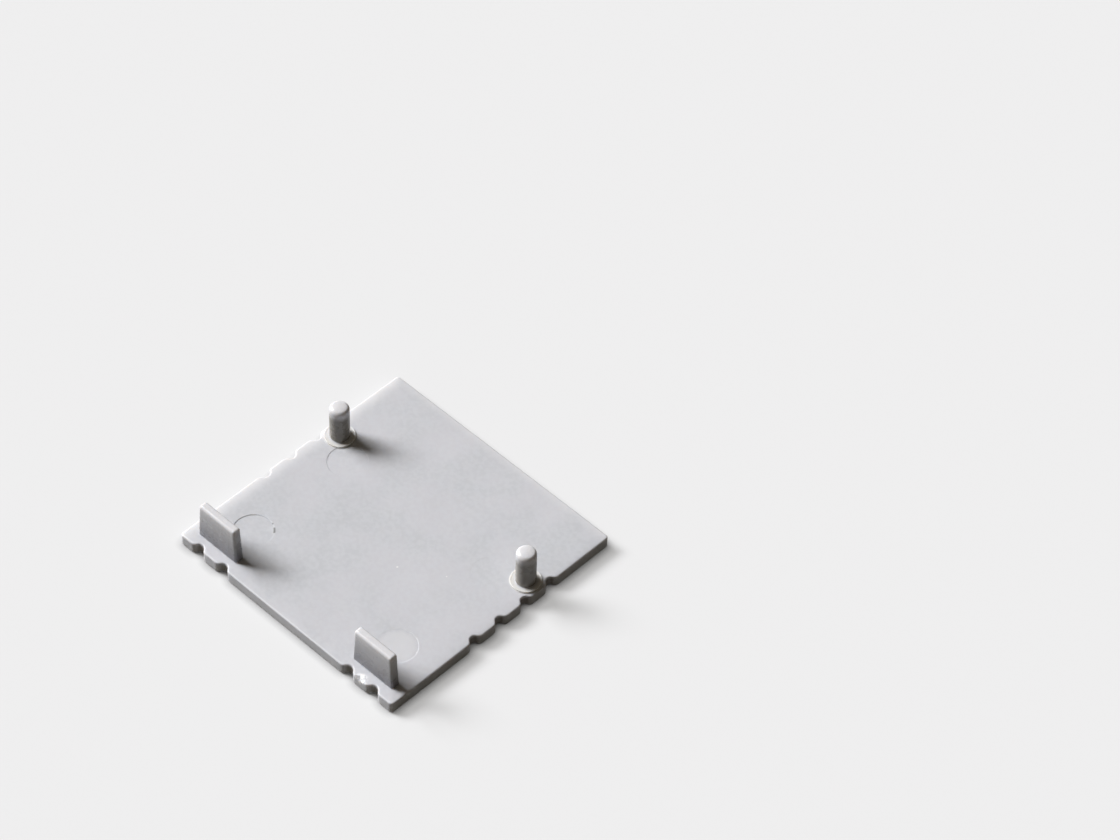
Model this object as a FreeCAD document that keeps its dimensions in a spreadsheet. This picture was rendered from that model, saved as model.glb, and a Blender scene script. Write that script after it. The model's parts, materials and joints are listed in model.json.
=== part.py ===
import FreeCAD, Part
import math
import os

import Sketcher

# Profile end cap: one moulded plate that closes the end of a square profile.
# The show face lies at Z = 0 and looks down, and the pins and tabs rise from the inner face.
# The tab edge is at -Y, the plain edge at +Y. The origin is the middle of the show face.

SIZES = {
    # plate
    "plate_width": 30.0,
    "plate_depth": 30.0,
    "plate_thickness": 1.5,
    "corner_radius": 0.4,
    "inner_edge_bevel": 0.15,
    "show_edge_round": 0.25,
    # scalloped notches, cut right through the plate's edge
    "notch_width": 1.16,
    "notch_depth": 0.58,
    "notch_lip_margin": 0.35,
    "side_notch_pitch": 3.5,
    "side_notch_shift": 1.6,
    "front_notch_pitch": 3.45,
    "front_notch_inset": 2.65,
    # grooves that run across the show face from notch to notch
    "groove_width": 1.5,
    "groove_depth": 0.28,
    # round pins, each with a low crown and a rounded shoulder
    "pin_diameter": 2.1,
    "pin_height": 4.5,
    "pin_crown": 0.15,
    "pin_shoulder_round": 0.45,
    "pin_inset": 1.8,
    # low flat ring that the ejector sleeve leaves round each pin's foot
    "ring_width": 0.55,
    "ring_height": 0.12,
    # flat tabs
    "tab_length": 5.6,
    "tab_thickness": 1.08,
    "tab_height": 4.35,
    "tab_inset": 1.2,
    "tab_setback": 1.3,
    "tab_end_taper": 0.28,
    "tab_face_taper": 0.05,
    "tab_edge_round": 0.28,
    # shallow round ejector marks on the inner face
    "mark_diameter": 4.2,
    "mark_depth": 0.06,
    "mark_inset": 4.8,
    "mark_front_setback": 5.4,
    "mark_pitch": 12.9,
    # bite left where the sprue was clipped off, between the two right-hand front notches
    "gate_length": 1.6,
    "gate_bite": 0.24,
}

# Counts along one side, at one front corner, and down one side of the inner face
SIDE_NOTCHES = 4
FRONT_NOTCHES = 2
MARK_ROWS = 2

# Formulas shared by more than one feature, written in the sheet's names
NOTCH_RADIUS = "(Sizes.notch_width ^ 2 / 4 + Sizes.notch_depth ^ 2) / (2 * Sizes.notch_depth)"
NOTCH_STANDOFF = "(" + NOTCH_RADIUS + " - Sizes.notch_depth)"
GROOVE_RADIUS = "(Sizes.groove_width ^ 2 / 4 + Sizes.groove_depth ^ 2) / (2 * Sizes.groove_depth)"
GATE_RADIUS = "(Sizes.gate_length ^ 2 / 4 + Sizes.gate_bite ^ 2) / (2 * Sizes.gate_bite)"
GATE_STANDOFF = "(" + GATE_RADIUS + " - Sizes.gate_bite) / sqrt(2)"
FIRST_SIDE_NOTCH = "(Sizes.side_notch_shift - %g * Sizes.side_notch_pitch)" % ((SIDE_NOTCHES - 1) / 2)
SIDE_ROW_LENGTH = "%d * Sizes.side_notch_pitch" % (SIDE_NOTCHES - 1)
PIN_Y = "(Sizes.side_notch_shift + Sizes.side_notch_pitch)"
RING_DIAMETER = "(Sizes.pin_diameter + 2 * Sizes.ring_width)"
LIP_RADIUS = "(Sizes.show_edge_round + Sizes.notch_lip_margin)"
CROWN_RADIUS = "(Sizes.pin_diameter ^ 2 / 4 + Sizes.pin_crown ^ 2) / (2 * Sizes.pin_crown)"

# How far a foot reaches down into the plate, as a share of its thickness, so that it fuses with it
ROOT_SHARE = 0.5
FOOT_Z = "(Sizes.plate_thickness * %g)" % (1 - ROOT_SHARE)

EDGE_TOLERANCE = 1e-4


def make_sheet(doc):
    """The driving dimensions, one row each: name in column A, value in column B."""
    sheet = doc.addObject("Spreadsheet::Sheet", "Sizes")
    for row, (name, value) in enumerate(SIZES.items(), start=1):
        sheet.set("A%d" % row, name)
        sheet.set("B%d" % row, "%g" % value)
        sheet.setAlias("B%d" % row, name)
    doc.recompute()
    return sheet


def origin_feature(body, role):
    """The body's own origin plane or axis with that role."""
    for feature in body.Origin.OriginFeatures:
        if feature.Role == role:
            return feature
    raise ValueError("no origin feature " + role)


def add_sketch(body, name, role, offset=None):
    """A sketch on one of the body's origin planes, moved by formulas in the plane's own axes."""
    sketch = body.newObject("Sketcher::SketchObject", name)
    sketch.AttachmentSupport = [(origin_feature(body, role), "")]
    sketch.MapMode = "FlatFace"
    for axis, formula in (offset or {}).items():
        sketch.setExpression("AttachmentOffset.Base." + axis, formula)
    return sketch


def bind(sketch, constraint, name, formula):
    """Add a constraint, name it and tie it to a formula."""
    index = sketch.addConstraint(constraint)
    sketch.renameConstraint(index, name)
    sketch.setExpression("Constraints." + name, formula)


def add_circle(sketch, diameter):
    """A circle held on the sketch's origin, its diameter tied to a formula."""
    circle = sketch.addGeometry(Part.Circle(FreeCAD.Vector(), FreeCAD.Vector(0, 0, 1), 1.0))
    sketch.addConstraint(Sketcher.Constraint("Coincident", circle, 3, -1, 1))
    bind(sketch, Sketcher.Constraint("Diameter", circle, 2.0), "Diameter", diameter)


def add_centred_rectangle(sketch, width, depth):
    """A closed rectangle with its middle on the sketch's origin."""
    corners = [FreeCAD.Vector(x, y, 0) for x, y in ((-1, -1), (1, -1), (1, 1), (-1, 1))]
    for start, end in zip(corners, corners[1:] + corners[:1]):
        sketch.addGeometry(Part.LineSegment(start, end))
    for side in range(4):
        sketch.addConstraint(Sketcher.Constraint("Coincident", side, 2, (side + 1) % 4, 1))
    for side, direction in enumerate(("Horizontal", "Vertical", "Horizontal", "Vertical")):
        sketch.addConstraint(Sketcher.Constraint(direction, side))
    sketch.addConstraint(Sketcher.Constraint("Symmetric", 0, 1, 1, 2, -1, 1))
    bind(sketch, Sketcher.Constraint("DistanceX", 0, 1, 0, 2, 2.0), "Width", width)
    bind(sketch, Sketcher.Constraint("DistanceY", 1, 1, 1, 2, 2.0), "Depth", depth)


def add_pattern(body, name, originals, steps):
    """A multi-transform of linear steps and mirrors; each step is a dict of its settings."""
    pattern = body.newObject("PartDesign::MultiTransform", name)
    pattern.Originals = originals
    moves = []
    for number, step in enumerate(steps, start=1):
        if "mirror" in step:
            move = body.Document.addObject("PartDesign::Mirrored", "%s_mirror%d" % (name, number))
            move.MirrorPlane = (origin_feature(body, step["mirror"]), [""])
        else:
            move = body.Document.addObject("PartDesign::LinearPattern", "%s_row%d" % (name, number))
            move.Direction = (origin_feature(body, step["along"]), [""])
            move.setExpression("Length", step["length"])
            move.Occurrences = step["count"]
        body.addObject(move)
        moves.append(move)
    pattern.Transformations = moves
    body.Tip = pattern
    return pattern


def dress_edges(body, kind, name, base, wanted, size):
    """A Fillet or Chamfer on every edge of the base feature that the wanted test accepts."""
    body.Document.recompute()
    names = ["Edge%d" % number for number, edge in enumerate(base.Shape.Edges, start=1) if wanted(edge)]
    if not names:
        raise ValueError("no edge to dress for " + name)
    dressed = body.newObject("PartDesign::" + kind, name)
    dressed.Base = (base, names)
    dressed.setExpression({"Fillet": "Radius", "Chamfer": "Size"}[kind], size)
    body.Tip = dressed
    body.Document.recompute()
    return dressed


def is_upright(edge):
    """True for a straight edge that runs along Z."""
    if edge.Curve.TypeId != "Part::GeomLine":
        return False
    return abs(abs(edge.Curve.Direction.z) - 1.0) < EDGE_TOLERANCE


def lies_at_height(edge, height):
    """True when the whole edge lies at one height."""
    box = edge.BoundBox
    return abs(box.ZMin - height) < EDGE_TOLERANCE and abs(box.ZMax - height) < EDGE_TOLERANCE


def make_plate(body):
    """The square plate with its four rounded corners, show face down at Z = 0."""
    sketch = add_sketch(body, "plate_outline", "XY_Plane")
    add_centred_rectangle(sketch, "Sizes.plate_width", "Sizes.plate_depth")
    plate = body.newObject("PartDesign::Pad", "plate")
    plate.Profile = sketch
    plate.setExpression("Length", "Sizes.plate_thickness")
    body.Tip = plate
    return dress_edges(body, "Fillet", "plate_corners", plate, is_upright, "Sizes.corner_radius")


def cut_notches(body, corners):
    """Round scallops through the plate: four along each side and a pair near each front corner."""
    side = add_sketch(body, "side_notch_outline", "XY_Plane", {
        "x": "Sizes.plate_width / 2 + " + NOTCH_STANDOFF,
        "y": FIRST_SIDE_NOTCH,
    })
    front = add_sketch(body, "front_notch_outline", "XY_Plane", {
        "x": "Sizes.plate_width / 2 - Sizes.front_notch_inset - Sizes.front_notch_pitch",
        "y": "-Sizes.plate_depth / 2 - " + NOTCH_STANDOFF,
    })
    cuts = []
    for sketch, name in ((side, "side_notch"), (front, "front_notch")):
        add_circle(sketch, "2 * " + NOTCH_RADIUS)
        cut = body.newObject("PartDesign::Pocket", name)
        cut.Profile = sketch
        cut.Type = "ThroughAll"
        cut.Reversed = True
        body.Tip = cut
        body.Document.recompute()
        cuts.append(cut)
    side_cut, front_cut = cuts
    add_pattern(body, "side_notches", [side_cut], [
        {"along": "Y_Axis", "length": SIDE_ROW_LENGTH, "count": SIDE_NOTCHES},
        {"mirror": "YZ_Plane"},
    ])
    notches = add_pattern(body, "front_notches", [front_cut], [
        {"along": "X_Axis", "length": "Sizes.front_notch_pitch", "count": FRONT_NOTCHES},
        {"mirror": "YZ_Plane"},
    ])
    body.Document.recompute()
    corner_edges = [edge.CenterOfMass for edge in corners.Shape.Edges if is_upright(edge)]

    def is_lip(edge):
        """An upright edge that the notches made, and not one where a plate corner's round ends."""
        if not is_upright(edge):
            return False
        middle = edge.CenterOfMass
        return min(middle.distanceToPoint(corner) for corner in corner_edges) > EDGE_TOLERANCE

    return dress_edges(body, "Fillet", "notch_lips", notches, is_lip, LIP_RADIUS)


def finish_plate_edges(body, lips, sizes):
    """A fine bevel along the inner face's rim and a full round along the show face's rim."""
    inner = dress_edges(
        body, "Chamfer", "inner_rim", lips,
        lambda edge: lies_at_height(edge, sizes.plate_thickness), "Sizes.inner_edge_bevel")
    return dress_edges(
        body, "Fillet", "show_rim", inner,
        lambda edge: lies_at_height(edge, 0.0), "Sizes.show_edge_round")


def cut_grooves(body):
    """Shallow round grooves across the show face, one in line with each pair of side notches."""
    sketch = add_sketch(body, "groove_section", "YZ_Plane", {
        "x": FIRST_SIDE_NOTCH,
        "y": "Sizes.groove_depth - " + GROOVE_RADIUS,
    })
    add_circle(sketch, "2 * " + GROOVE_RADIUS)
    groove = body.newObject("PartDesign::Pocket", "groove")
    groove.Profile = sketch
    groove.SideType = "Symmetric"
    groove.Type = "ThroughAll"
    body.Tip = groove
    body.Document.recompute()
    add_pattern(body, "grooves", [groove], [
        {"along": "Y_Axis", "length": SIDE_ROW_LENGTH, "count": SIDE_NOTCHES},
    ])


def press_marks(body):
    """Round ejector marks, pressed a little way into the inner face: two on each side."""
    sketch = add_sketch(body, "mark_outline", "XY_Plane", {
        "x": "Sizes.plate_width / 2 - Sizes.mark_inset",
        "y": "Sizes.mark_front_setback - Sizes.plate_depth / 2",
        "z": "Sizes.plate_thickness - Sizes.mark_depth",
    })
    add_circle(sketch, "Sizes.mark_diameter")
    mark = body.newObject("PartDesign::Pocket", "mark")
    mark.Profile = sketch
    mark.Reversed = True
    mark.Type = "ThroughAll"
    body.Tip = mark
    body.Document.recompute()
    add_pattern(body, "marks", [mark], [
        {"along": "Y_Axis", "length": "%d * Sizes.mark_pitch" % (MARK_ROWS - 1), "count": MARK_ROWS},
        {"mirror": "YZ_Plane"},
    ])


def clip_gate(body):
    """The nipped scoop in the rim where the sprue was clipped off: a ball's bite at 45 degrees."""
    bite = body.newObject("PartDesign::SubtractiveSphere", "gate_bite")
    bite.AttachmentSupport = [(origin_feature(body, "XY_Plane"), "")]
    bite.MapMode = "FlatFace"
    bite.setExpression("Radius", GATE_RADIUS)
    bite.setExpression(
        "AttachmentOffset.Base.x",
        "Sizes.plate_width / 2 - Sizes.front_notch_inset - Sizes.front_notch_pitch / 2")
    bite.setExpression("AttachmentOffset.Base.y", "-Sizes.plate_depth / 2 - " + GATE_STANDOFF)
    bite.setExpression("AttachmentOffset.Base.z", "Sizes.plate_thickness + " + GATE_STANDOFF)
    body.Tip = bite
    body.Document.recompute()


def add_pins(body):
    """Two round pins with low crowns, each turned in one go with the flat ring at its foot."""
    sketch = add_sketch(body, "pin_profile", "XZ_Plane", {
        "x": "Sizes.plate_width / 2 - Sizes.pin_inset",
        "z": "-" + PIN_Y,
    })
    # Rough start values, which the constraints below replace
    pin_radius, ring_radius, foot_z, ring_z, pin_top = 1.0, 1.6, 0.7, 1.5, 6.0
    crown_radius, shoulder_radius = 4.0, 0.3
    crown_middle = FreeCAD.Vector(0, pin_top - crown_radius, 0)
    shoulder_x = pin_radius - shoulder_radius
    lean = math.asin(shoulder_x / (crown_radius - shoulder_radius))
    shoulder_z = crown_middle.y + (crown_radius - shoulder_radius) * math.cos(lean)
    shoulder_middle = FreeCAD.Vector(shoulder_x, shoulder_z, 0)
    axis_foot = FreeCAD.Vector(0, foot_z, 0)
    ring_foot = FreeCAD.Vector(ring_radius, foot_z, 0)
    ring_edge = FreeCAD.Vector(ring_radius, ring_z, 0)
    shank_foot = FreeCAD.Vector(pin_radius, ring_z, 0)
    shank_top = FreeCAD.Vector(pin_radius, shoulder_z, 0)
    crown_top = FreeCAD.Vector(0, pin_top, 0)
    upward = FreeCAD.Vector(0, 0, 1)
    shoulder_circle = Part.Circle(shoulder_middle, upward, shoulder_radius)
    crown_circle = Part.Circle(crown_middle, upward, crown_radius)
    foot = sketch.addGeometry(Part.LineSegment(axis_foot, ring_foot))
    ring_wall = sketch.addGeometry(Part.LineSegment(ring_foot, ring_edge))
    ring_top = sketch.addGeometry(Part.LineSegment(ring_edge, shank_foot))
    shank = sketch.addGeometry(Part.LineSegment(shank_foot, shank_top))
    shoulder = sketch.addGeometry(Part.ArcOfCircle(shoulder_circle, 0.0, math.pi / 2 - lean))
    crown = sketch.addGeometry(Part.ArcOfCircle(crown_circle, math.pi / 2 - lean, math.pi / 2))
    axis = sketch.addGeometry(Part.LineSegment(crown_top, axis_foot))
    outline = [foot, ring_wall, ring_top, shank, shoulder, crown, axis]
    for first, second in zip(outline, outline[1:] + outline[:1]):
        meeting = "Tangent" if shoulder in (first, second) else "Coincident"
        sketch.addConstraint(Sketcher.Constraint(meeting, first, 2, second, 1))
    for line in (foot, ring_top):
        sketch.addConstraint(Sketcher.Constraint("Horizontal", line))
    for line in (ring_wall, shank):
        sketch.addConstraint(Sketcher.Constraint("Vertical", line))
    for line, end in ((foot, 1), (crown, 2), (crown, 3)):
        sketch.addConstraint(Sketcher.Constraint("PointOnObject", line, end, -2))
    bind(sketch, Sketcher.Constraint("DistanceY", -1, 1, foot, 1, foot_z), "Foot", FOOT_Z)
    bind(sketch, Sketcher.Constraint("DistanceX", -1, 1, foot, 2, ring_radius),
         "RingRadius", RING_DIAMETER + " / 2")
    bind(sketch, Sketcher.Constraint("DistanceY", -1, 1, ring_wall, 2, ring_z),
         "RingTop", "Sizes.plate_thickness + Sizes.ring_height")
    bind(sketch, Sketcher.Constraint("DistanceX", -1, 1, shank, 1, pin_radius),
         "PinRadius", "Sizes.pin_diameter / 2")
    bind(sketch, Sketcher.Constraint("Radius", shoulder, shoulder_radius),
         "ShoulderRadius", "Sizes.pin_shoulder_round")
    bind(sketch, Sketcher.Constraint("Radius", crown, crown_radius), "CrownRadius", CROWN_RADIUS)
    bind(sketch, Sketcher.Constraint("DistanceY", -1, 1, crown, 2, pin_top),
         "PinTop", "Sizes.plate_thickness + Sizes.pin_height")
    pin = body.newObject("PartDesign::Revolution", "pin")
    pin.Profile = sketch
    pin.ReferenceAxis = (sketch, ["V_Axis"])
    pin.Angle = 360.0
    body.Tip = pin
    body.Document.recompute()
    add_pattern(body, "pins", [pin], [{"mirror": "YZ_Plane"}])


def add_tabs(body, sizes):
    """Two flat tabs beside the front corners, tapered like any moulded wall and rounded all round."""
    middle_x = "Sizes.plate_width / 2 - Sizes.tab_inset - Sizes.tab_length / 2"
    middle_y = "Sizes.tab_setback + Sizes.tab_thickness / 2 - Sizes.plate_depth / 2"
    foot = add_sketch(body, "tab_foot", "XY_Plane", {"x": middle_x, "y": middle_y, "z": FOOT_Z})
    top = add_sketch(body, "tab_top", "XY_Plane", {
        "x": middle_x, "y": middle_y, "z": "Sizes.plate_thickness + Sizes.tab_height"})
    add_centred_rectangle(foot, "Sizes.tab_length", "Sizes.tab_thickness")
    add_centred_rectangle(
        top,
        "Sizes.tab_length - 2 * Sizes.tab_end_taper",
        "Sizes.tab_thickness - 2 * Sizes.tab_face_taper")
    tab = body.newObject("PartDesign::AdditiveLoft", "tab")
    tab.Profile = foot
    tab.Sections = [top]
    tab.Ruled = True
    body.Tip = tab
    body.Document.recompute()
    tabs = add_pattern(body, "tabs", [tab], [{"mirror": "YZ_Plane"}])
    tab_top_z = sizes.plate_thickness + sizes.tab_height

    def is_tab_edge(edge):
        """True for an edge round a tab's top, or one that climbs to it from the tab's foot."""
        box = edge.BoundBox
        climbs = abs(box.ZMax - tab_top_z) < EDGE_TOLERANCE and box.ZLength > sizes.tab_height / 2
        return climbs or lies_at_height(edge, tab_top_z)

    dress_edges(body, "Fillet", "tab_rounds", tabs, is_tab_edge, "Sizes.tab_edge_round")


def make_end_cap(doc, sizes):
    """The whole moulding, in the order in which it would be drawn."""
    body = doc.addObject("PartDesign::Body", "end_cap")
    body.Label = "end_cap"
    corners = make_plate(body)
    lips = cut_notches(body, corners)
    finish_plate_edges(body, lips, sizes)
    cut_grooves(body)
    press_marks(body)
    clip_gate(body)
    add_pins(body)
    add_tabs(body, sizes)
    body.Placement = FreeCAD.Placement()
    return body


def check_document(doc, bodies):
    """Stop on any object that failed, and on any empty, broken or divided solid."""
    for thing in doc.Objects:
        if "Invalid" in thing.State or "Error" in thing.State:
            raise RuntimeError("%s failed: %s" % (thing.Name, thing.State))
    for body in bodies:
        if body.Shape.isNull() or not body.Shape.isValid():
            raise RuntimeError(body.Label + " has no valid shape")
        if len(body.Shape.Solids) != 1:
            raise RuntimeError("%s is %d solids" % (body.Label, len(body.Shape.Solids)))


def main():
    doc = FreeCAD.newDocument("ProfileEndCap")
    sizes = make_sheet(doc)
    bodies = [make_end_cap(doc, sizes)]
    doc.recompute()
    check_document(doc, bodies)
    os.makedirs("parts", exist_ok=True)
    for body in bodies:
        body.Shape.exportStep(os.path.join("parts", body.Label + ".step"))
        box = body.Shape.optimalBoundingBox()
        print(body.Label, "volume %.1f mm3" % body.Shape.Volume,
              "box %.3f x %.3f x %.3f mm" % (box.XLength, box.YLength, box.ZLength))


main()
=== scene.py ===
import json
import math

import bmesh
import bpy
import numpy as np
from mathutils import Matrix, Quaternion, Vector


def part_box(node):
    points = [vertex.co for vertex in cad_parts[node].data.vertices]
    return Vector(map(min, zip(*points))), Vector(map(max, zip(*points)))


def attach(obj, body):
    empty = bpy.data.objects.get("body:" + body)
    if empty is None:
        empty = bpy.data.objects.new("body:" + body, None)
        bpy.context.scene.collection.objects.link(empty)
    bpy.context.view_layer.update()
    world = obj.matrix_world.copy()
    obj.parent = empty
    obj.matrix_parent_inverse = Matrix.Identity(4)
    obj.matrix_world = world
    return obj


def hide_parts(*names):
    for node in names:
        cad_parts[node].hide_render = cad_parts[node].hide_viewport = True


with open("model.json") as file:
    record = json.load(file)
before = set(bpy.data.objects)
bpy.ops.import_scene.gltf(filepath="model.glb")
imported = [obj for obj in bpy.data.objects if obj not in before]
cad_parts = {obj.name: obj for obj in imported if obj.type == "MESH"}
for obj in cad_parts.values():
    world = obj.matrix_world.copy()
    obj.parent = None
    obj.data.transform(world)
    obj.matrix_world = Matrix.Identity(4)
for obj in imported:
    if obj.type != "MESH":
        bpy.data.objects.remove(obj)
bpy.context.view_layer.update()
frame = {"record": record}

# Profile end cap, dressed for its picture.
# X runs along the tab edge, Y away from it, and Z out of the inner face, along the pins.
# Shapes and patterns are worked out in millimetres, and MM brings them to metres.
# Plan points are complex numbers, x + iy. Angles are radians, except where a comment says degrees.

MM = 0.001

# Sizes and places that the frame gives
box_low, box_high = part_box("end_cap")
mounts = {mount["name"]: mount for mount in frame["record"]["mounts"]}
HALF_WIDTH = (box_high.x - box_low.x) / 2 / MM
HALF_DEPTH = (box_high.y - box_low.y) / 2 / MM
PLATE_TOP = mounts["inner_face"]["pos_m"][2] / MM
PIN_TOP = box_high.z / MM
PIN_X = mounts["pin_right"]["pos_m"][0] / MM
PIN_Y = mounts["pin_right"]["pos_m"][1] / MM
PIN_RADIUS = mounts["pin_right"]["dims"]["r_mm"]
TAB_X = mounts["tab_right"]["pos_m"][0] / MM
TAB_Y = mounts["tab_right"]["pos_m"][1] / MM

# Plate, its round notches and the grooves across its show face
CORNER_RADIUS = 0.4
INNER_RIM = 0.15
SHOW_RIM = 0.25
NOTCH_WIDTH = 1.16
NOTCH_DEPTH = 0.58
LIP_RADIUS = 0.6
SIDE_PITCH = 3.5
SIDE_NOTCHES = PIN_Y + SIDE_PITCH * np.array([-2.5, -1.5, -0.5, 0.5])
FRONT_NOTCHES = np.array([-12.35, -8.9, 8.9, 12.35])
GROOVE_WIDTH = 1.5
GROOVE_DEPTH = 0.28

# The faces' own grid ends at this square, and a band joins it to the outline
INNER_FRAME = 13.6

# Longest step along each straight stretch between notches, finer beside the clipped gate
FRONT_SPACINGS = (0.25, 0.25, 0.6, 0.055, 0.25)
SIDE_SPACINGS = (0.4, 0.3, 0.3, 0.3, 0.6)

# How far the inner face drops at the outline and how fast that fades, and its faint unevenness
DROOP = 0.07
DROOP_REACH = 0.5
SWELL = 0.014
SWELL_SCALE = 11.0
SWELL_SEED = 5
SWELL_LOW = 0.012

# Ejector marks, by side and row: depth, share of tilt, and the way towards the deepest part
MARK_RADIUS = 2.1
MARK_X = 10.2
FRONT_ROW = -9.6
REAR_ROW = 3.3
MARK_SINK = {
    (-1, FRONT_ROW): (0.033, 1.0, 2.6),
    (-1, REAR_ROW): (0.02, 1.0, 3.1),
    (1, FRONT_ROW): (0.022, 0.8, 0.3),
    (1, REAR_ROW): (0.004, 1.0, 3.1),
}
# How far outside a mark's circle the square hole in the grid lies, and the ring that its spokes run to
MARK_MARGIN = 0.25
MARK_BAND = 0.04
# Across a mark's edge: distance outside its circle, share of its depth, share of the burr
MARK_EDGE = (
    (0.02, 0.0, 0.05),
    (0.006, 0.1, 0.3),
    (0.0, 0.5, 0.6),
    (-0.006, 0.9, 0.9),
    (-0.02, 1.0, 1.0),
    (-0.05, 1.0, 1.0),
)
# Across a mark's floor: share of its radius, share of the burr
MARK_FLOOR = ((0.93, 0.7), (0.86, 0.3), (0.75, 0.0), (0.5, 0.0), (0.25, 0.0), (0.0, 0.0))

# The burr on one mark's circle: its way, height and spread. A dot of burr lies a little further round,
# with a spot of painted shade beside it.
BURR_MARK = (-1, FRONT_ROW)
BURR_WAY = 0.82
BURR_HEIGHT = 0.03
BURR_SPREAD = 0.17
DOT_TURN = 0.4
DOT_SPREAD = 0.06
DOT_SHADE_TURN = 0.42

# Pins, each with a round shoulder, a low crown and a ring with a thin raised lip at its foot. The
# lip's inner edge keeps a share of its height.
PIN_CROWN = 0.15
PIN_SHOULDER = 0.45
PIN_FOOT_ROUND = 0.05
PIN_STEPS = 96
RING_RADIUS = 1.6
RING_HEIGHT = 0.12
RING_LIP = 0.03
RING_LIP_WIDTH = 0.09
RING_LIP_SLOPE = 0.03
RING_LIP_ROUND = 0.02
RING_LIP_KEPT = 0.8

# Tabs
TAB_LENGTH = 5.6
TAB_THICKNESS = 1.08
TAB_HEIGHT = 4.35
TAB_END_TAPER = 0.28
TAB_FACE_TAPER = 0.05
TAB_EDGE_ROUND = 0.28
# Insets of the two rings that close a tab's flat top
TAB_TOP_INSETS = (0.38, 0.45)

# How deep the roots of pins and tabs reach into the plate
ROOT_DEPTH = 0.7

# Bite where the sprue was clipped off, and the ripples of its torn floor: height, scale and seed
GATE_X = (FRONT_NOTCHES[2] + FRONT_NOTCHES[3]) / 2
GATE_LENGTH = 1.6
GATE_BITE = 0.24
GATE_RIPPLES = ((0.03, 0.5, 3), (0.022, 0.16, 8))

# Pale specks on the inner face, each its place and radius, and how many radii out they are gone
SPECKS = ((3.12, -2.69, 0.08), (7.4, -0.1, 0.05))
SPECK_SPREAD = 1.6

# Colours of the plastic, as linear red, green and blue
PLASTIC_DEEP = (0.518, 0.530, 0.556)
PLASTIC_PALE = (0.557, 0.559, 0.590)
PLASTIC_CLOUD = (0.577, 0.588, 0.616)
# Painted light: the pins' and tabs' tips paler, as lit from above
TIP_PAINTED_LIGHT = (0.67, 0.67, 0.69)
# Painted highlight on the lips of the rings round the pins
RING_PAINTED_HIGHLIGHT = (0.66, 0.655, 0.64)
# Painted light: a glow along the left and rear rims
RIM_PAINTED_LIGHT = (0.70, 0.70, 0.715)
BLOOM_PALE = (0.62, 0.625, 0.645)
# Torn plastic at the gate: its whitening, partly painted glints
TORN_WHITE_AND_GLINTS = (0.88, 0.88, 0.89)
SPECK_WHITE = (0.76, 0.76, 0.76)
# Painted shade of the burr and of its dot
BURR_PAINTED_SHADE = (0.22, 0.22, 0.22)

# Painted shade that multiplies the plastic's colour: shanks, the left one darker than the right, their feet
# and the tabs, all darker lower down, and the notches
LEFT_SHANK_SHADE = (0.48, 0.455, 0.40)
RIGHT_SHANK_SHADE = (0.54, 0.515, 0.465)
SHANK_FOOT_SHADE = (0.76, 0.73, 0.67)
TAB_PAINTED_SHADE = (0.38, 0.375, 0.395)
RECESS_PAINTED_SHADE = (0.50, 0.44, 0.36)

# Noise patterns of the plastic: lumps to a millimetre, and detail
BROAD_CLOUDS = (0.22, 4)
FINE_CLOUDS = (2.2, 3)
MATT_PATCHES = (1.2, 4)
TORN_PATCHES = (3.0, 3)
MOULD_GRAIN = (9.0, 3)

# Heights where the plastic's masks start and end. Tabs have no ring, so they stand from lower down.
STANDING_HEIGHTS = (PLATE_TOP + 0.16, PLATE_TOP + 0.24)
TAB_STANDING_DROP = 0.13
FACE_HEIGHTS = (PLATE_TOP - 0.5, PLATE_TOP - 0.1)
# Heights over which the painted shade on tabs, shanks and the shanks' feet fades out
TAB_SHADE_HEIGHTS = (PLATE_TOP - 0.5, PIN_TOP - 0.3)
SHANK_SHADE_HEIGHTS = (PIN_TOP - 1.4, PIN_TOP - 0.4)
SHANK_FOOT_HEIGHTS = (PLATE_TOP, PIN_TOP - 0.4)
TIP_HEIGHTS = (PIN_TOP - 1.3, PIN_TOP - 0.1)
TURNED_HEIGHTS = (PIN_TOP - 0.5, PIN_TOP - 0.3)
# Heights of the painted shade in the notches
RECESS_FOOT_HEIGHTS = (GROOVE_DEPTH, GROOVE_DEPTH + 0.17)
RECESS_TOP_HEIGHTS = (PLATE_TOP - 0.5, PLATE_TOP - 0.12)

# Places and distances where the other masks start and end
TAB_SIDE_Y = (-8.0, -7.0)
# Where the left shank's darker painted shade gives way to the right one's
LEFT_HALF_X = (-1.0, 1.0)
# Widths of the painted light along the left and rear rims
LEFT_RIM_WIDTH = 1.8
REAR_RIM_WIDTH = 1.2
# Inset of the painted shade in the notches
RECESS_INSET = (0.12, 0.45)
RING_OUTSIDE = (RING_RADIUS + 0.03, RING_RADIUS + 0.1)
RING_INSIDE = (PIN_RADIUS + 0.1, PIN_RADIUS + 0.33)
TURNED_REACH = (1.2, 1.3)
BLOOM_REACH = (1.5, MARK_RADIUS)
# Width and reach of the painted shade along the burr, and the reach of the spot by its dot
BURR_SHADE_WIDTH = (0.05, 0.15)
BURR_SHADE_REACH = (0.3, 0.42)
DOT_SHADE_REACH = (0.05, 0.16)
TORN_REACH = (0.5, 0.95)

# The plastic's finish: roughness of the plate, how much smoother its polish and tips are, the pitch
# of the turned rings on the pins' tops, and the depth of grain and rings
PLATE_ROUGHNESS = (0.44, 0.56)
POLISH_DROP = 0.2
TIP_POLISH_DROP = 0.06
TURNED_PITCH = 0.19
GRAIN_DEPTH = 0.006

# Floor: half its side in metres, what it throws back, what is seen of it and its own glow, then how
# far from the cap its shade reaches, in millimetres, and how strongly it closes in
FLOOR_HALF = 1.5
FLOOR_BOUNCE = (0.10, 0.088, 0.070)
FLOOR_SEEN = (0.372, 0.375, 0.381)
FLOOR_GLOW = (0.43, 0.43, 0.43)
FLOOR_SHADE_REACH = 0.9
FLOOR_SHADE_POWER = 2.0

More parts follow.
